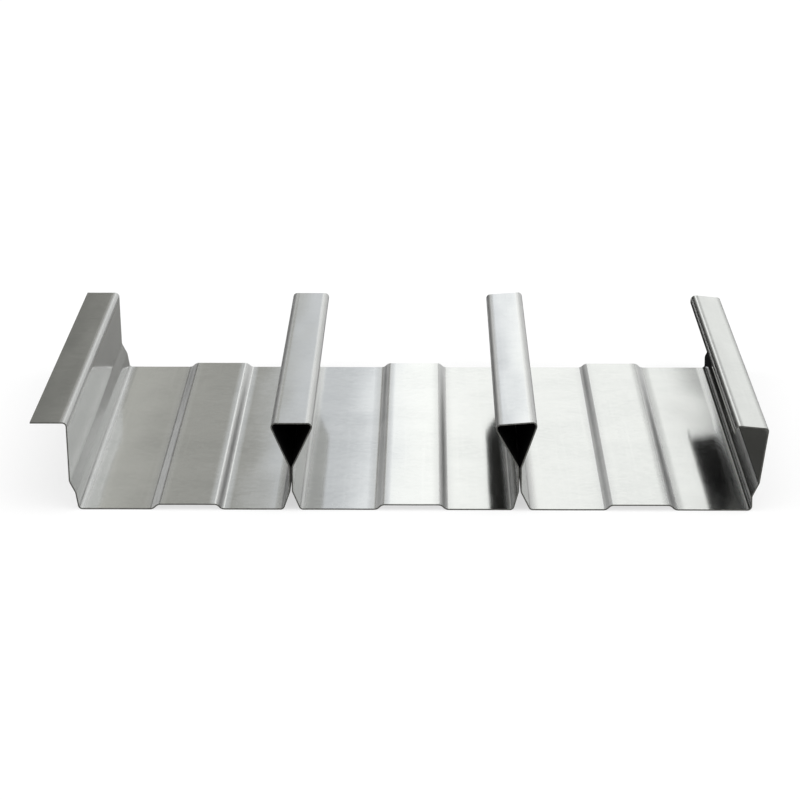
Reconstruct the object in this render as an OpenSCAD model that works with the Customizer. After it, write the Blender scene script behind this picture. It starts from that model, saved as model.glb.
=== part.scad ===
// Roll-formed steel floor deck with closed ribs.
// One sheet of galvanised strip: flat pans with a raised stiffener, closed wedge-headed ribs
// between the pans, and a flanged lap edge along each side. X runs across the sheet, Y along
// the ribs and Z up from the soffit that bears on the beams.

/* [Sheet] */
// Thickness of the strip
sheet_t = 1.0; // [0.7:0.1:1.4]
// Length of the piece along the ribs
sheet_l = 450; // [200:10:3000]
// Number of pans between the two lap edges
pan_count = 3; // [2:1:5]
// Distance between ribs, so pan_count times this is the cover width
rib_pitch = 170; // [150:1:240]
// Overall height of a closed rib above the soffit
rib_h = 67; // [58:1:76]

/* [Closed rib] */
// Overall width of the rib's flat head
head_w = 31; // [26:1:38]
// Angle between the head's sloping side and the vertical
head_flare = 25; // [20:1:28]
// Clear slit between the two layers of the stem
stem_slit = 1.0; // [0.4:0.1:2]
// Width of the open notch under the rib, measured at the pan corners
notch_w = 13; // [10:0.5:16]
// Height of the closed stem, between the notch and the wedge
stem_h = 18.5; // [12:0.5:20]
// Distance of each rib to the right of its even place, from the first rib on
rib_shift = [-1.5, 0]; // [-3:0.5:3]
// Distance of each stem to the right of the middle of its notch, from the first rib on
stem_shift = [-0.5, -1.5]; // [-2:0.5:2]
// Distance of each head to the right of the middle of its notch, from the first rib on
head_shift = [0, -4.5]; // [-5:0.5:5]
// Springback tilt of each head, up towards the seat edge, in degrees
head_tilt = [0, 6.5]; // [-2:0.5:8]

/* [Pan stiffener] */
// Width of the raised stiffener in a pan, between the feet of its sides
stiffener_w = 51.5; // [32:0.5:70]
// Height that the stiffener is raised
stiffener_h = 3.5; // [2:0.5:6]
// Distance of each stiffener to the right of the middle of its pan, from the first pan on
stiffener_shift = [4.5, 3.5, 0]; // [0:0.5:6]
// Angle of the stiffener's sides above the pan
stiffener_slope = 45; // [30:1:60]
// Share of each side that its two bends take up
stiffener_round = 0.9; // [0.3:0.05:0.95]

/* [Cover edge, on the left] */
// Distance of the cover edge's pan corner inside the lap line
cover_inset = 9.5; // [4:0.5:16]
// Height of the cover web's foot, from the soffit to its joggle
cover_foot_h = 13; // [10:0.5:16]
// Lean of the cover web's foot, in degrees
cover_foot_lean = 10.5; // [0:0.5:20]
// Height of the joggle in the cover web
cover_joggle_h = 8.5; // [7:0.5:14]
// Lean of the cover web's joggle, in degrees
cover_joggle_lean = 28; // [15:0.5:35]
// Lean of the cover web above its joggle, in degrees
cover_web_lean = 2; // [0:0.5:8]
// Width of the cover flange, which lies on the seat flange of the next sheet
cover_flange_w = 27; // [20:0.5:40]

/* [Seat edge, on the right] */
// Distance of the seat edge's pan corner inside the lap line
seat_inset = -1.5; // [-6:0.5:12]
// Height of the seat web's foot, from the soffit to its joggle
seat_foot_h = 11; // [7:0.5:14]
// Lean of the seat web's foot, in degrees
seat_foot_lean = 0; // [0:1:20]
// Height of the joggle in the seat web
seat_joggle_h = 10.5; // [8:0.5:14]
// Lean of the seat web's joggle, in degrees
seat_joggle_lean = 26.5; // [15:0.5:35]
// Lean of the seat web above its joggle, in degrees
seat_web_lean = 8.5; // [0:0.5:14]
// How far the outer side of the seat flange lies below the top of the closed ribs
seat_drop = 3.5; // [1:0.5:6]
// Width of the seat flange
seat_flange_w = 25; // [20:1:40]
// Fall of the seat flange towards its outer side, in degrees
seat_flange_fall = 5.5; // [0:0.5:8]
// Overall height of the lip that hangs from the seat flange
seat_lip_h = 7; // [6:0.5:20]

/* [Bends] */
// Centreline radius of the bends at the heads and the cover flange
head_r = 3; // [2:0.5:5]
// Centreline radius of the bend between the seat web and its flange
seat_r = 2; // [1.5:0.5:4]
// Centreline radius of the bend above the seat flange's lip
lip_r = 4; // [2.5:0.5:5.5]
// Centreline radius of the bends in stems and joggles
stem_r = 5; // [2:0.5:8]
// Centreline radius of the bends at pan corners
pan_r = 3; // [1.5:0.5:4]
// Largest turn between two neighbouring facets of a bend, in degrees
bend_step = 12; // [6:1:20]

/* [Hidden] */

half_t = sheet_t / 2;
pan_z = half_t;
cover_w = pan_count * rib_pitch;
cover_corner_x = -cover_w / 2 + cover_inset;
seat_corner_x = cover_w / 2 - seat_inset;

// A section is a list of centreline corners, each [x, z, bend radius].
function at(p, r) = [p[0], p[1], r];
function step_up(p, h, lean) = [p[0] + h * tan(lean), p[1] + h];
function turned(p, pivot, angle) = [
    pivot[0] + (p[0] - pivot[0]) * cos(angle) - (p[1] - pivot[1]) * sin(angle),
    pivot[1] + (p[0] - pivot[0]) * sin(angle) + (p[1] - pivot[1]) * cos(angle)
];

// Closed rib: the right half as corners from the pan up to the head, mirrored for the left half.
stem_x = stem_slit / 2 + half_t;
head_z = rib_h - half_t;
head_corner_x = head_w / 2 - half_t - head_r + head_r * tan((90 + head_flare) / 2);
stem_top_z = head_z - (head_corner_x - stem_x) / tan(head_flare);
half_rib = [
    [notch_w / 2, pan_z, pan_r],
    [stem_x, stem_top_z - stem_h, stem_r],
    [stem_x, stem_top_z, stem_r],
    [head_corner_x, head_z, head_r]
];
whole_rib = concat([for (p = half_rib) [-p[0], p[1], p[2]]], reversed(half_rib));
function each_rib(values, i) = values[(i - 1) % len(values)];
function rib_x(i) = (i - pan_count / 2) * rib_pitch + each_rib(rib_shift, i);
function rib_corner(p, i) =
    let (q = turned(p, [0, head_z], each_rib(head_tilt, i)))
    p[1] == pan_z ? p
    : p[1] < head_z ? [p[0] + each_rib(stem_shift, i), p[1], p[2]]
    : [q[0] + each_rib(head_shift, i), q[1], p[2]];
function closed_rib(i) = [for (p = whole_rib) rib_corner(p, i) + [rib_x(i), 0, 0]];

// Raised stiffener of pan i, set from the middle between the pan's two corners.
stiffener_run = stiffener_h / tan(stiffener_slope);
stiffener_r = stiffener_round * stiffener_h / (2 * (1 - cos(stiffener_slope)));
function pan_left(i) = i == 0 ? cover_corner_x : rib_x(i) + notch_w / 2;
function pan_right(i) = i == pan_count - 1 ? seat_corner_x : rib_x(i + 1) - notch_w / 2;
function stiffener_x(i) = (pan_left(i) + pan_right(i)) / 2 + stiffener_shift[i % len(stiffener_shift)];
function stiffener(i) =
    let (x = stiffener_x(i), low = stiffener_w / 2, high = low - stiffener_run) [
        [x - low, pan_z, stiffener_r],
        [x - high, pan_z + stiffener_h, stiffener_r],
        [x + high, pan_z + stiffener_h, stiffener_r],
        [x + low, pan_z, stiffener_r]
    ];

// Cover edge: the level flange points outwards.
cover_corner = [cover_corner_x, pan_z];
cover_knee = step_up(cover_corner, cover_foot_h - pan_z, -cover_foot_lean);
cover_waist = step_up(cover_knee, cover_joggle_h, -cover_joggle_lean);
cover_top = step_up(cover_waist, head_z - cover_waist[1], -cover_web_lean);
cover_end = cover_top - [cover_flange_w, 0];
cover_edge = [
    at(cover_end, 0), at(cover_top, head_r), at(cover_waist, stem_r),
    at(cover_knee, stem_r), at(cover_corner, pan_r)
];

// Seat edge: the flange points back over the pan and carries a hanging lip.
seat_corner = [seat_corner_x, pan_z];
seat_knee = step_up(seat_corner, seat_foot_h - pan_z, seat_foot_lean);
seat_waist = step_up(seat_knee, seat_joggle_h, seat_joggle_lean);
seat_top = step_up(seat_waist, head_z - seat_drop - seat_waist[1], seat_web_lean);
seat_bend = seat_top + seat_flange_w * [-cos(seat_flange_fall), sin(seat_flange_fall)];
seat_end = seat_bend - [0, seat_lip_h - half_t];
seat_edge = [
    at(seat_corner, pan_r), at(seat_knee, stem_r), at(seat_waist, stem_r),
    at(seat_top, seat_r), at(seat_bend, lip_r), at(seat_end, 0)
];

// The whole section, from the cover flange to the seat lip.
section_corners = concat(
    cover_edge,
    [for (i = [0 : pan_count - 1]) each concat(
        stiffener(i),
        i < pan_count - 1 ? closed_rib(i + 1) : []
    )],
    seat_edge
);

// Points of one face of the strip, offset from the centreline to the left of its direction.
function heading(a, b) = atan2(b[1] - a[1], b[0] - a[0]);
function turn(a, b) = let (d = b - a) d > 180 ? d - 360 : d < -180 ? d + 360 : d;
function bend_points(p, dir_in, dir_out, side) =
    let (
        angle = turn(dir_in, dir_out),
        hand = sign(angle),
        back = p[2] * tan(abs(angle) / 2),
        centre = [p[0], p[1]] - back * [cos(dir_in), sin(dir_in)]
            + hand * p[2] * [-sin(dir_in), cos(dir_in)],
        radius = p[2] - hand * side,
        steps = ceil(abs(angle) / bend_step)
    )
    [for (k = [0 : steps])
        let (a = dir_in + angle * k / steps)
        centre + hand * radius * [sin(a), -cos(a)]];
function end_point(p, dir, side) = [p[0] - side * sin(dir), p[1] + side * cos(dir)];
function face_points(c, side) = let (last = len(c) - 1) concat(
    [end_point(c[0], heading(c[0], c[1]), side)],
    [for (i = [1 : last - 1]) each
        bend_points(c[i], heading(c[i - 1], c[i]), heading(c[i], c[i + 1]), side)],
    [end_point(c[last], heading(c[last - 1], c[last]), side)]
);
function reversed(v) = [for (i = [len(v) - 1 : -1 : 0]) v[i]];
outline = concat(face_points(section_corners, half_t), reversed(face_points(section_corners, -half_t)));

// The origin is under the middle of the sheet's overall width.
outline_x = [for (p = outline) p[0]];
middle_x = (min(outline_x) + max(outline_x)) / 2;

module deck_sheet() {
    color("lightgray")
        translate([-middle_x, sheet_l / 2, 0])
            rotate([90, 0, 0])
                linear_extrude(height = sheet_l)
                    polygon(outline);
}

deck_sheet();
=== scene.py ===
import math

import bpy
import numpy as np
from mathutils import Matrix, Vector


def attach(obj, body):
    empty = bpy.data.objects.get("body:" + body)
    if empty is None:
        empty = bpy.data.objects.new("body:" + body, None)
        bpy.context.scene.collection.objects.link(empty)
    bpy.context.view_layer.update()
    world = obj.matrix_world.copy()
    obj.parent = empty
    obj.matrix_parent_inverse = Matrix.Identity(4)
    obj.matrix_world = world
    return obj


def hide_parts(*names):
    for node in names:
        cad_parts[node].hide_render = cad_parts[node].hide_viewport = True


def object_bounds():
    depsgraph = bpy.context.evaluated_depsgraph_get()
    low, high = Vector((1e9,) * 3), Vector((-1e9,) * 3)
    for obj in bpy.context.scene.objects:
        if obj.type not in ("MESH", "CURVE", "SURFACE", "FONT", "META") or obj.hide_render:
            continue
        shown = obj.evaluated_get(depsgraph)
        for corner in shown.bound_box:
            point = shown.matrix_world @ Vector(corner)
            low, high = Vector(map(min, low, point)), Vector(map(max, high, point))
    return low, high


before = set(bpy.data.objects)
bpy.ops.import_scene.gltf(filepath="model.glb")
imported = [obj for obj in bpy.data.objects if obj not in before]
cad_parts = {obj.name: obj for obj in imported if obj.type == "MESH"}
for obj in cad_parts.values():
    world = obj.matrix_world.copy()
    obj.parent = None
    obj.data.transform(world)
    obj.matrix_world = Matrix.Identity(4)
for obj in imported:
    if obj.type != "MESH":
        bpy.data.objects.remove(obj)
cad_low, cad_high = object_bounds()

# Deck sheet.
# One strip of galvanised steel, cold-formed between rollers into flat pans, two closed ribs with
# wedge heads, and a flange along each side. Both ends are sheared square, so bare steel shows
# there. Lengths are in metres, angles in degrees, and corners are where the flats would meet.
SHEET_T = 0.0010
SHEET_L = cad_high.y - cad_low.y
PAN_COUNT = 3
RIB_PITCH = 0.170
RIB_H = 0.067

# Closed ribs, and how far each stem and head stands off its even place.
HEAD_W = 0.031
HEAD_FLARE = 25
STEM_SLIT = 0.0010
NOTCH_W = 0.013
STEM_H = 0.0185
RIB_SHIFT = (-0.0015, 0)
STEM_SHIFT = (-0.0005, -0.0015)
HEAD_SHIFT = (0, -0.0045)
HEAD_TILT = (0, 4.5)

# Stiffener of each pan.
STIFFENER_W = 0.0515
STIFFENER_H = 0.0035
STIFFENER_SHIFT = (0.0045, 0.0035, 0)
STIFFENER_SLOPE = 45
STIFFENER_ROUND = 0.9

# Cover edge, on the left.
COVER_INSET = 0.0095
COVER_FOOT_H = 0.013
COVER_FOOT_LEAN = 10.5
COVER_JOGGLE_H = 0.0085
COVER_JOGGLE_LEAN = 28
COVER_WEB_LEAN = 2
COVER_FLANGE_W = 0.027

# Seat edge, on the right.
SEAT_INSET = -0.0015
SEAT_FOOT_H = 0.011
SEAT_FOOT_LEAN = 0
SEAT_JOGGLE_H = 0.0105
SEAT_JOGGLE_LEAN = 26.5
SEAT_WEB_LEAN = 8.5
SEAT_DROP = 0.0035
SEAT_FLANGE_W = 0.025
SEAT_FLANGE_FALL = 5.5
SEAT_LIP_H = 0.007

# Radii of the bends, to the middle of the strip.
HEAD_R = 0.003
SEAT_R = 0.002
LIP_R = 0.004
STEM_R = 0.005
PAN_R = 0.003


def tan(degrees):
    return math.tan(math.radians(degrees))


def step_up(point, height, lean):
    """The point reached by climbing height along a line that leans away from the vertical."""
    return (point[0] + height * tan(lean), point[1] + height)


def closed_rib(rib):
    """Corners of one closed rib, left to right: one half and its mirror image.

    The stem moves sideways over the notch, and so does the head, which also turns about its
    own middle by the rib's tilt.
    """
    foot_z = SHEET_T / 2
    head_z = RIB_H - SHEET_T / 2
    stem_x = STEM_SLIT / 2 + SHEET_T / 2
    head_x = HEAD_W / 2 - SHEET_T / 2 - HEAD_R + HEAD_R * tan((90 + HEAD_FLARE) / 2)
    stem_top = head_z - (head_x - stem_x) / tan(HEAD_FLARE)
    half = np.array([
        (NOTCH_W / 2, foot_z, PAN_R),
        (stem_x, stem_top - STEM_H, STEM_R),
        (stem_x, stem_top, STEM_R),
        (head_x, head_z, HEAD_R),
    ])
    corners = np.vstack([half * (-1, 1, 1), half[::-1]])
    foot = corners[:, 1] == foot_z
    head = corners[:, 1] == head_z
    angle = math.radians(HEAD_TILT[rib])
    spin = np.array([(math.cos(angle), math.sin(angle)), (-math.sin(angle), math.cos(angle))])
    corners[head, :2] = (corners[head, :2] - (0, head_z)) @ spin + (HEAD_SHIFT[rib], head_z)
    corners[~head & ~foot, 0] += STEM_SHIFT[rib]
    corners[:, 0] += (rib + 1 - PAN_COUNT / 2) * RIB_PITCH + RIB_SHIFT[rib]
    return corners


def stiffener(x):
    """Corners of the raised flat in the middle of a pan.

    A bend of radius r that turns by a rises r (1 - cos a), and the two bends of a side take up
    the given share of its rise.
    """
    low = STIFFENER_W / 2
    high = low - STIFFENER_H / tan(STIFFENER_SLOPE)
    radius = STIFFENER_ROUND * STIFFENER_H / (2 * (1 - math.cos(math.radians(STIFFENER_SLOPE))))
    z = SHEET_T / 2
    return np.array([
        (x - low, z, radius),
        (x - high, z + STIFFENER_H, radius),
        (x + high, z + STIFFENER_H, radius),
        (x + low, z, radius),
    ])


def cover_edge():
    """Corners of the left edge, from the free end of its flange down to the pan."""
    base = (COVER_INSET - PAN_COUNT * RIB_PITCH / 2, SHEET_T / 2)
    knee = step_up(base, COVER_FOOT_H - SHEET_T / 2, -COVER_FOOT_LEAN)
    waist = step_up(knee, COVER_JOGGLE_H, -COVER_JOGGLE_LEAN)
    top = step_up(waist, RIB_H - SHEET_T / 2 - waist[1], -COVER_WEB_LEAN)
    end = (top[0] - COVER_FLANGE_W, top[1])
    return np.array([(*end, 0), (*top, HEAD_R), (*waist, STEM_R), (*knee, STEM_R), (*base, PAN_R)])


def seat_edge():
    """Corners of the right edge, from the pan up to the lip under the free end of its flange."""
    base = (PAN_COUNT * RIB_PITCH / 2 - SEAT_INSET, SHEET_T / 2)
    knee = step_up(base, SEAT_FOOT_H - SHEET_T / 2, SEAT_FOOT_LEAN)
    waist = step_up(knee, SEAT_JOGGLE_H, SEAT_JOGGLE_LEAN)
    top = step_up(waist, RIB_H - SHEET_T / 2 - SEAT_DROP - waist[1], SEAT_WEB_LEAN)
    fall = math.radians(SEAT_FLANGE_FALL)
    bend = (top[0] - SEAT_FLANGE_W * math.cos(fall), top[1] + SEAT_FLANGE_W * math.sin(fall))
    end = (bend[0], bend[1] - SEAT_LIP_H + SHEET_T / 2)
    return np.array([(*base, PAN_R), (*knee, STEM_R), (*waist, STEM_R), (*top, SEAT_R),
                     (*bend, LIP_R), (*end, 0)])


cover = cover_edge()
seat = seat_edge()
ribs = [closed_rib(rib) for rib in range(PAN_COUNT - 1)]
walls = [cover, *ribs, seat]
stiffener_x = [(walls[pan][-1, 0] + walls[pan + 1][0, 0]) / 2 + STIFFENER_SHIFT[pan]
               for pan in range(PAN_COUNT)]


def section_corners():
    """The whole section from left to right: one row per corner, x, z and bend radius."""
    rows = [cover]
    for pan in range(PAN_COUNT):
        rows += [stiffener(stiffener_x[pan]), walls[pan + 1]]
    return np.vstack(rows)


BEND_POINTS = 8
FLAT_POINTS = 8


def strip_line(corners):
    """The strip's mid-line: points, unit normals, distance along it, how bent and how slack it is.

    At a corner that turns by a, the flats end r tan(a / 2) short of it. A point on the arc lies
    on the circle about the point r to the inner side of where the flat ends, at equal angles. A
    point on a flat divides the straight from one arc to the next. Bends and flats alternate.
    Slack is 0 on a bend, and on a flat its width times sin squared of the way across it.
    """
    spot, radius = corners[:, :2], corners[1:-1, 2]
    leg = np.diff(spot, axis=0)
    heading = np.arctan2(leg[:, 1], leg[:, 0])
    turn = (np.diff(heading) + math.pi) % (2 * math.pi) - math.pi
    hand = np.sign(turn)
    back = radius * np.tan(abs(turn) / 2)
    along = np.stack([np.cos(heading), np.sin(heading)], 1)
    across = np.stack([-along[:, 1], along[:, 0]], 1)
    start = spot[1:-1] - back[:, None] * along[:-1]
    finish = spot[1:-1] + back[:, None] * along[1:]
    centre = start + (hand * radius)[:, None] * across[:-1]

    angle = heading[:-1, None] + turn[:, None] * np.linspace(0, 1, BEND_POINTS)
    bend_normal = np.stack([-np.sin(angle), np.cos(angle)], 2)
    bend = centre[:, None] - (hand * radius)[:, None, None] * bend_normal

    first = np.vstack([spot[:1], finish])
    last = np.vstack([start, spot[-1:]])
    way = np.linspace(0, 1, FLAT_POINTS + 2)[1:-1]
    flat = first[:, None] * (1 - way[:, None]) + last[:, None] * way[:, None]
    flat_normal = np.repeat(across[:, None], FLAT_POINTS, axis=1)
    swell = np.sin(math.pi * way) ** 2 * np.linalg.norm(last - first, axis=1)[:, None]

    points = np.concatenate([flat[:-1], bend], axis=1).reshape(-1, 2)
    normals = np.concatenate([flat_normal[:-1], bend_normal], axis=1).reshape(-1, 2)
    bent = np.concatenate([np.zeros(swell[:-1].shape), np.ones(angle.shape)], axis=1).ravel()
    slack = np.concatenate([swell[:-1], np.zeros(angle.shape)], axis=1).ravel()

    points = np.vstack([spot[:1], points, flat[-1], spot[-1:]])
    normals = np.vstack([across[:1], normals, flat_normal[-1], across[-1:]])
    bent = np.concatenate([[0], bent, np.zeros(FLAT_POINTS + 1)])
    slack = np.concatenate([[0], slack, swell[-1], [0]])
    run = np.concatenate([[0], np.cumsum(np.linalg.norm(np.diff(points, axis=0), axis=1))])
    return points, normals, run, bent, slack


# How slightly the flats lie out of true: at most WAVE_SHARE times 1.8 times a flat's width.
WAVE_SHARE = 0.0010
WAVE_LENGTHS = (0.31, 0.17, 0.093)
WAVE_PHASE = 0.9


def flat_wave(y, bent, slack):
    """How far the mid-line moves along its normal, for each y and each point of the section.

    It is slack times a sum of sines along Y, the k-th of which has height 1 / k. The phase moves
    on by a fixed step wherever a flat starts or ends, so neighbouring flats wave differently.
    """
    phase = np.cumsum(np.diff(bent, prepend=0) ** 2) * WAVE_PHASE
    wave = sum(np.sin(2 * math.pi * (y[:, None] / length + phase * k)) / k
               for k, length in enumerate(WAVE_LENGTHS, 1))
    return WAVE_SHARE * slack * wave


# How worn the zinc is, up to 1. A wall ends at a pan, a head or the cover flange: pans lie in
# PAN_ZONE from the soffit up, and heads in HEAD_ZONE from the top down, farther than SEAT_ZONE
# from the seat edge. The reaches are measured from the middle of a stiffener's side.
WALL_END_WORN = 0.6
WALL_BEND_WORN = 0.28
COVER_WEB_WORN = 0.22
STIFFENER_BEND_WORN = 0.3
STIFFENER_BEND_REACH = 0.008
STIFFENER_SIDE_REACH = 0.0038
STIFFENER_SIDE_FADE = 0.002
PAN_ZONE = 0.006
HEAD_ZONE = 0.010
SEAT_ZONE = 0.05

# How much shade is painted on, up to 1: painted shade inside the closed ribs, growing from one
# height to the other, and on the seat web, up to the bend of its flange.
RIB_PAINTED_SHADE_Z = (0.003, 0.012)
RIB_REACH = HEAD_W * 0.6
SEAT_WEB_PAINTED_SHADE = 0.4
SEAT_WEB_MARGIN = 0.002
SEAT_WEB_TOP = RIB_H - 0.008


def distance(values, places):
    """How far each value is from the nearest of the places."""
    return np.min([abs(values - place) for place in places], axis=0)


def worn_and_painted_shade(points, bent):
    """How worn the strip is at each point of its mid-line, and how much shade is painted on its faces.

    Each kind of bend has its own even wear, and a stiffener's side is worn in full at its middle
    and less and less towards its foot and head. The seat web, under its flange, gets painted shade
    on its upper face and is not worn. On the under face, painted shade grows inside each rib from
    its mouth upwards.
    """
    x, z = points.T
    stiffener_reach = STIFFENER_W / 2 - STIFFENER_H / tan(STIFFENER_SLOPE) / 2
    sides = [middle + side * stiffener_reach for middle in stiffener_x for side in (-1, 1)]
    off_side = distance(x, sides)
    low = z < PAN_ZONE
    head = (z > RIB_H - HEAD_ZONE) & (x < seat[0, 0] - SEAT_ZONE)
    cover_web = (x < cover[-1, 0]) & ~low & ~head
    seat_web = (x > seat[0, 0] - SEAT_WEB_MARGIN) & (z < SEAT_WEB_TOP)

    bend_worn = np.where(low | head, WALL_END_WORN, WALL_BEND_WORN)
    bend_worn = np.where(off_side < STIFFENER_BEND_REACH, STIFFENER_BEND_WORN, bend_worn)
    side_worn = low * np.clip((STIFFENER_SIDE_REACH - off_side) / STIFFENER_SIDE_FADE, 0, 1)
    worn = np.max([bent * bend_worn, side_worn, cover_web * COVER_WEB_WORN], axis=0)

    # Painted shade inside each closed rib, from its mouth upwards, and on the seat web.
    near_rib = distance(x, [rib[[0, -1], 0].mean() for rib in ribs]) < RIB_REACH
    depth = np.clip((z - RIB_PAINTED_SHADE_Z[0]) / (RIB_PAINTED_SHADE_Z[1] - RIB_PAINTED_SHADE_Z[0]), 0, 1)
    return worn * ~seat_web, np.stack([seat_web * SEAT_WEB_PAINTED_SHADE, depth * near_rib])


def strip_skin(rows, count):
    """Quads that close the strip: those of its two faces, and those of its four cut edges.

    Vertices are numbered face by face, in each face by rows along Y, and in a row across.
    """
    top, under = np.arange(2 * rows * count).reshape(2, rows, count)

    def quads(a, b):
        """Quads between two lines of vertices, in the order that faces outwards."""
        return np.stack([a[..., :-1], a[..., 1:], b[..., 1:], b[..., :-1]], -1).reshape(-1, 4)

    faces = np.vstack([quads(top[:-1], top[1:]), quads(under[1:], under[:-1])])
    edges = np.vstack([
        quads(under[0], top[0]), quads(top[-1], under[-1]),
        quads(top[:, 0], under[:, 0]), quads(under[:, -1], top[:, -1]),
    ])
    return faces, edges


MAP_GAP = 0.02


def lay_map(mesh, run, y):
    """The strip's own map: u is the distance across the flat strip and v the distance along it.

    The under face lies beside the upper one, with a gap.
    """
    u = np.stack([run, run + run[-1] + MAP_GAP])[:, None, :] + np.zeros((1, len(y), 1))
    v = (y + SHEET_L / 2)[None, :, None] + np.zeros((2, 1, len(run)))
    corner_vertex = np.zeros(len(mesh.loops), np.int32)
    mesh.loops.foreach_get("vertex_index", corner_vertex)
    place = np.stack([u.ravel()[corner_vertex], v.ravel()[corner_vertex]], 1)
    mesh.uv_layers.new(name="strip").uv.foreach_set("vector", place.astype(np.float32).ravel())


def mark_points(mesh, name, values):
    """An attribute with one number for each vertex."""
    attribute = mesh.attributes.new(name, "FLOAT", "POINT")
    attribute.data.foreach_set("value", values.astype(np.float32).ravel())


ROW_STEP = 0.008
SHARP_ANGLE = 50


def formed_sheet(name):
    """The section carried along Y, with the strip's two faces half a thickness each side of it.

    The mid-line first moves along its normal by the wave of its flats. The faces are then joined
    round the four cut edges into one closed skin, centred over the origin.
    """
    points, normals, run, bent, slack = strip_line(section_corners())
    y = np.linspace(-SHEET_L / 2, SHEET_L / 2, int(round(SHEET_L / ROW_STEP)) + 1)
    middle = points + flat_wave(y, bent, slack)[..., None] * normals
    section = np.stack([middle + side * SHEET_T / 2 * normals for side in (1, -1)])
    section[..., 0] -= (section[..., 0].min() + section[..., 0].max()) / 2
    grid = section.shape[:3]
    vertices = np.stack([section[..., 0], np.broadcast_to(y[:, None], grid), section[..., 1]], -1)
    faces, edges = strip_skin(len(y), len(points))

    mesh = bpy.data.meshes.new(name)
    mesh.from_pydata(vertices.reshape(-1, 3), [], np.vstack([faces, edges]).tolist())
    material = np.repeat([0, 1], [len(faces), len(edges)]).astype(np.int32)
    mesh.polygons.foreach_set("material_index", material)
    mesh.shade_smooth()
    mesh.set_sharp_from_angle(angle=math.radians(SHARP_ANGLE))
    lay_map(mesh, run, y)
    worn, dusty = worn_and_painted_shade(points, bent)
    mark_points(mesh, "worn", np.broadcast_to(worn, grid))
    mark_points(mesh, "dusty", np.broadcast_to(dusty[:, None], grid))

    piece = bpy.data.objects.new(name, mesh)
    bpy.context.scene.collection.objects.link(piece)
    return piece


class Shade:
    """A material's node tree, or one output in it. Operators on an output add Math nodes."""

    def __init__(self, tree, socket=None):
        self.tree = tree
        self.socket = socket

    def node(self, kind, settings=None, inputs=None, output=0):
        """Adds a node, sets its settings and then its sockets, and returns one of its outputs."""
        made = self.tree.nodes.new("ShaderNode" + kind)
        for key, value in (settings or {}).items():
            if key == "stops":
                while len(made.color_ramp.elements) < len(value):
                    made.color_ramp.elements.new(0.5)
                for stop, (place, colour) in zip(made.color_ramp.elements, value):
                    stop.position = place
                    stop.color = colour
            else:
                setattr(made, key, value)
        for key, value in (inputs or {}).items():
            if isinstance(value, Shade):
                self.tree.links.new(value.socket, made.inputs[key])
            else:
                made.inputs[key].default_value = value
        return Shade(self.tree, made.outputs[output] if made.outputs else None)

    def math(self, operation, first, second=0.0):
        return self.node("Math", {"operation": operation}, {0: first, 1: second})

    def mix(self, share, first, second):
        """The colour share of the way from first to second."""
        return self.node("Mix", {"data_type": "RGBA"}, {0: share, 6: first, 7: second}, 2)

    def span(self, low, high):
        """This value carried smoothly from the range low to high onto 0 to 1."""
        return self.node("MapRange", {"interpolation_type": "SMOOTHSTEP"},
                         {"Value": self, "From Min": low, "From Max": high})

    def __add__(self, other):
        return self.math("ADD", self, other)

    __radd__ = __add__

    def __mul__(self, other):
        return self.math("MULTIPLY", self, other)

    __rmul__ = __mul__


def surface(name):
    """A new material with an empty tree, and the Shade to build it with."""
    material = bpy.data.materials.new(name)
    material.use_nodes = True
    material.node_tree.nodes.clear()
    return material, Shade(material.node_tree)


def finish_with(shade, inputs):
    """Ends a material's tree in one Principled shader with these sockets."""
    shader = shade.node("BsdfPrincipled", None, inputs)
    shade.node("OutputMaterial", None, {"Surface": shader})


# Zinc. A scale is the number of marks in a metre, a range is where a mark fades in, a tone is
# its share of the colour, and the roughnesses add up.
ZINC = (0.552, 0.556, 0.550, 1)
ZINC_DARK = (0.500, 0.506, 0.502, 1)
ZINC_PALE = (0.612, 0.614, 0.606, 1)
ZINC_WORN = (0.760, 0.762, 0.752, 1)
# Painted shade: a near-black colour laid inside the ribs and on the seat web under its flange.
PAINTED_SHADE = (0.03, 0.03, 0.03, 1)
SPANGLE = 0.0045
CLOUD_SCALE = 14.0
CLOUD_RANGE = (0.3, 0.7)
GRAIN_SCALE = 900.0
STREAK_SCALE = (260.0, 3.0, 1.0)
STREAK_RANGE = (0.55, 0.8)
SPANGLE_TONE = 0.35
STREAK_TONE = 0.25
WORN_TONE = 0.2
PAINTED_SHADE_TONE = 0.97
ZINC_ROUGH = 0.07
SPANGLE_ROUGH = 0.015
CLOUD_ROUGH = 0.03
WORN_ROUGH = 0.40
PAINTED_SHADE_ROUGH = 0.4
PAINTED_SHADE_ROUGH_RANGE = (0.88, 0.97)
SPANGLE_RELIEF = 0.5
GRAIN_RELIEF = 0.35
RELIEF_DEPTH = 0.0002
RELIEF_STRENGTH = 0.06


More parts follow.
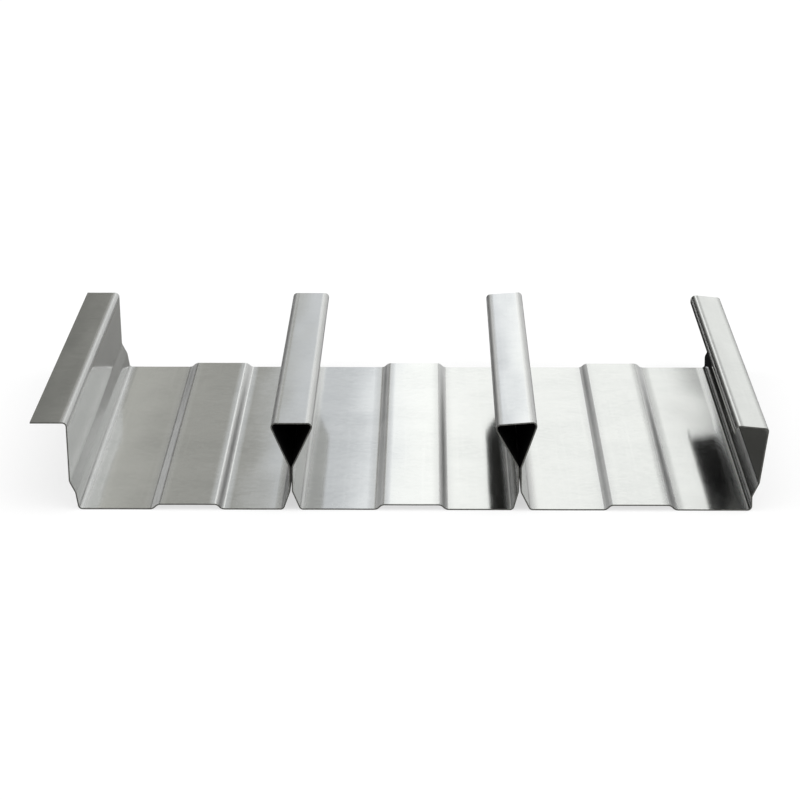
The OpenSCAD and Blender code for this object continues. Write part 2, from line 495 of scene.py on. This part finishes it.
def galvanised():
    """Hot-dip zinc: a small flat spangle, clouds and streaks from handling, worn bends, painted shade.

    The colour starts as zinc and goes in turn towards each mark's colour by the mark's share.
    """
    material, shade = surface("galvanised_zinc")
    strip = shade.node("UVMap", {"uv_map": "strip"})
    crystal = shade.node("TexVoronoi", {"voronoi_dimensions": "2D"},
                         {"Vector": strip, "Scale": 1 / SPANGLE, "Randomness": 1.0}, "Color")
    facet = shade.node("SeparateColor", None, {"Color": crystal})
    cloud = shade.node("TexNoise", {"noise_dimensions": "2D"},
                       {"Vector": strip, "Scale": CLOUD_SCALE, "Detail": 4.0, "Roughness": 0.55})
    grain = shade.node("TexNoise", {"noise_dimensions": "2D"},
                       {"Vector": strip, "Scale": GRAIN_SCALE, "Detail": 2.0, "Roughness": 0.6})
    streak_place = shade.node("Mapping", None, {"Vector": strip, "Scale": STREAK_SCALE})
    streak = shade.node("TexNoise", {"noise_dimensions": "2D"},
                        {"Vector": streak_place, "Scale": 1.0, "Detail": 3.0, "Roughness": 0.5})
    worn = shade.node("Attribute", {"attribute_name": "worn"}, None, "Fac")
    dusty = shade.node("Attribute", {"attribute_name": "dusty"}, None, "Fac")

    colour = shade.mix(cloud.span(*CLOUD_RANGE), ZINC_DARK, ZINC)
    colour = shade.mix(facet * SPANGLE_TONE, colour, ZINC_PALE)
    colour = shade.mix(streak.span(*STREAK_RANGE) * STREAK_TONE, colour, ZINC_PALE)
    colour = shade.mix(worn * WORN_TONE, colour, ZINC_WORN)
    # Painted shade, near black, inside the closed ribs and on the seat web under its flange.
    colour = shade.mix(dusty * PAINTED_SHADE_TONE, colour, PAINTED_SHADE)
    rough = ZINC_ROUGH + facet * SPANGLE_ROUGH + cloud * CLOUD_ROUGH + worn * WORN_ROUGH
    rough = rough + dusty.span(*PAINTED_SHADE_ROUGH_RANGE) * PAINTED_SHADE_ROUGH
    relief = facet * SPANGLE_RELIEF + grain * GRAIN_RELIEF
    bump = shade.node("Bump", None,
                      {"Height": relief, "Strength": RELIEF_STRENGTH, "Distance": RELIEF_DEPTH})
    finish_with(shade, {"Base Color": colour, "Metallic": 1.0, "Roughness": rough, "Normal": bump})
    return material


STEEL_DARK = (0.06, 0.06, 0.055, 1)
STEEL_LIGHT = (0.14, 0.14, 0.13, 1)
STEEL_ROUGH = 0.38
SHEAR_SCALE = 1500.0
SHEAR_RANGE = (0.35, 0.7)
SHEAR_ROUGH = 0.2


def bare_edge():
    """The sheared edge of the steel: grey, a little warm, with the fine marks of the shear."""
    material, shade = surface("sheared_steel")
    place = shade.node("TexCoord", None, None, "Object")
    mark = shade.node("TexNoise", None, {"Vector": place, "Scale": SHEAR_SCALE, "Detail": 2.0})
    colour = shade.mix(mark.span(*SHEAR_RANGE), STEEL_DARK, STEEL_LIGHT)
    rough = STEEL_ROUGH + mark * SHEAR_ROUGH
    finish_with(shade, {"Base Color": colour, "Metallic": 1.0, "Roughness": rough})
    return material


sheet = formed_sheet("formed_deck_sheet")
sheet.data.materials.append(galvanised())
sheet.data.materials.append(bare_edge())
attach(sheet, "root")
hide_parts("deck_sheet")

# Floor.
# White paper just under the sheet. It is lit only in part, and for the rest shows white by
# itself, to the eye and in the zinc, so that the sheet's shadow stays faint.
FLOOR_SIZE = 14.0
FLOOR_GAP = 0.0002
FLOOR_COLOUR = (0.93, 0.93, 0.93, 1)
FLOOR_GLOW = 0.6


def level_sheet(name, low, high, z):
    """A level rectangle between two corners in x and y."""
    mesh = bpy.data.meshes.new(name)
    corners = [(low[0], low[1], z), (high[0], low[1], z), (high[0], high[1], z), (low[0], high[1], z)]
    mesh.from_pydata(corners, [], [(0, 1, 2, 3)])
    made = bpy.data.objects.new(name, mesh)
    bpy.context.scene.collection.objects.link(made)
    return made


def white_paper():
    """Diffuse white, mixed with white light of its own where it is seen or mirrored."""
    material, shade = surface("white_paper")
    diffuse = shade.node("BsdfDiffuse", None, {"Color": FLOOR_COLOUR})
    glow = shade.node("Emission", None, {"Color": (1, 1, 1, 1), "Strength": 1.0})
    seen = sum(shade.node("LightPath", None, None, "Is " + ray + " Ray")
               for ray in ("Camera", "Glossy", "Transmission"))
    both = shade.node("MixShader", None, {0: seen * FLOOR_GLOW, 1: diffuse, 2: glow})
    shade.node("OutputMaterial", None, {"Surface": both})
    return material


half_floor = FLOOR_SIZE / 2
floor = level_sheet("floor", (-half_floor, -half_floor), (half_floor, half_floor), cad_low.z - FLOOR_GAP)
floor.data.materials.append(white_paper())

# Dark cloth.
# It lies on the floor behind the sheet, grey on the left and black on the right, and shows only
# in the zinc. The sides of the closed ribs and of the seat edge mirror it, which darkens them.
CLOTH_W = 1.6
CLOTH_REACH = 1.3
CLOTH_GAP = 0.005
CLOTH_LIFT = 0.0005
CLOTH_GREY = (0.24, 0.24, 0.23, 1)
CLOTH_BLACK = (0.01, 0.01, 0.01, 1)
CLOTH_CHANGE = (-0.05, 0.2)


def dark_cloth():
    """A dull cloth whose grey goes over to black from one x to the other."""
    material, shade = surface("dark_cloth")
    spot = shade.node("TexCoord", None, None, "Object")
    across = shade.node("SeparateXYZ", None, {"Vector": spot}, 0)
    colour = shade.mix(across.span(*CLOTH_CHANGE), CLOTH_GREY, CLOTH_BLACK)
    finish_with(shade, {"Base Color": colour, "Roughness": 0.9, "Specular IOR Level": 0.0})
    return material


cloth = level_sheet("dark_cloth", (-CLOTH_W / 2, cad_high.y + CLOTH_GAP),
                    (CLOTH_W / 2, cad_high.y + CLOTH_REACH), cad_low.z + CLOTH_LIFT)
cloth.data.materials.append(dark_cloth())
cloth.visible_camera = False
cloth.visible_diffuse = False
cloth.visible_shadow = False

# Room.
# The zinc is a dull mirror, so its lights and darks are those of the room round it. The sheet is
# the same all along Y, so a view from the front mirrors only directions 13 to 16 degrees off +Y,
# and a slope of its surface turns them round Y by twice its angle: that turn is called fan.
ROOM_GREYS = (
    # Dark on the left, then a dim wall, a pale band along its top and a grey stretch.
    (-180, 0.02), (-58, 0.02), (-50, 0.08), (-28, 0.08), (-25.5, 0.26), (-21.3, 0.30),
    (-20.3, 0.78), (-18.7, 0.76), (-18.0, 0.48), (-11, 0.42),
    # Ceiling lights, from left of the middle over to the right.
    (-9.0, 0.92), (-5.0, 0.73), (-2.5, 1.46), (0, 1.52), (2, 1.34), (6, 1.33), (17.8, 1.33),
    # A dark beam, a pale strip and a window, then a plain wall down to the dark floor.
    (18.8, 0.03), (21.5, 0.03), (23.5, 0.60), (28, 0.60), (30, 1.20), (36, 1.22), (40, 0.70),
    (92, 0.65), (98, 0.05), (180, 0.05),
)
OLIVE_TINT = (1.0, 1.0, 0.93, 1)
BLUE_TINT = (0.97, 1.0, 1.03, 1)
GREEN_TINT = (0.985, 1.0, 0.975, 1)
OLIVE_TO_BLUE = (-11, -9)
BLUE_TO_GREEN = (-4, -1)
ABOVE_DARK = (0.03, 0.03, 0.03, 1)
ABOVE_LIGHT = (0.9, 0.9, 0.9, 1)
DARK_TO_LIGHT = (-60, -25)
FRONT_LIGHT = (1.3, 1.3, 1.3, 1)
BACK_TO_ABOVE = (19, 27)
ABOVE_TO_FRONT = (50, 65)


def room_world():
    """Light by direction, from two angles in degrees.

    Fan is arctan2(east, up): 0 straight up and 90 to the right. Off-axis is arccos(north), the
    angle from +Y. Close to +Y the light is ROOM_GREYS by fan, with a faint tint. Farther off it
    goes over to the light above, dark on the left, and then to the even light of the front.
    """
    world = bpy.data.worlds.new("room")
    world.use_nodes = True
    world.node_tree.nodes.clear()
    shade = Shade(world.node_tree)
    way = shade.node("TexCoord", None, None, "Generated")
    east, north, up = (shade.node("SeparateXYZ", None, {"Vector": way}, part) for part in range(3))
    off_axis = shade.math("ARCCOSINE", north) * (180 / math.pi)
    fan = shade.math("ARCTAN2", east, up) * (180 / math.pi)

    stops = [((degrees + 180) / 360, (grey, grey, grey, 1)) for degrees, grey in ROOM_GREYS]
    back = shade.node("ValToRGB", {"stops": stops}, {0: (fan + 180) * (1 / 360)})
    tint = shade.mix(fan.span(*OLIVE_TO_BLUE), OLIVE_TINT, BLUE_TINT)
    tint = shade.mix(fan.span(*BLUE_TO_GREEN), tint, GREEN_TINT)
    back = shade.node("VectorMath", {"operation": "MULTIPLY"}, {0: back, 1: tint})
    above = shade.mix(fan.span(*DARK_TO_LIGHT), ABOVE_DARK, ABOVE_LIGHT)
    light = shade.mix(off_axis.span(*BACK_TO_ABOVE), back, above)
    light = shade.mix(off_axis.span(*ABOVE_TO_FRONT), light, FRONT_LIGHT)
    background = shade.node("Background", None, {"Color": light, "Strength": 1.0})
    shade.node("OutputWorld", None, {"Surface": background})
    return world


bpy.context.scene.world = room_world()

# Camera.
# It stands in front of the sheet, a little above it, and looks square at its front end and down
# on its pans. The angles are in degrees and the lens is in millimetres.
CAMERA_PLACE = (0.0212, -2.7140, 0.7114)
CAMERA_DOWN = 14.133
CAMERA_LEFT = 0.474
CAMERA_LENS = 155.9
CAMERA_SENSOR = 36

camera = bpy.data.cameras.new("camera")
camera.lens = CAMERA_LENS
camera.sensor_width = CAMERA_SENSOR
viewer = bpy.data.objects.new("camera", camera)
viewer.location = CAMERA_PLACE
viewer.rotation_euler = (math.radians(90 - CAMERA_DOWN), 0, math.radians(CAMERA_LEFT))
bpy.context.scene.collection.objects.link(viewer)
bpy.context.scene.camera = viewer
bpy.context.scene.view_settings.view_transform = "Standard"
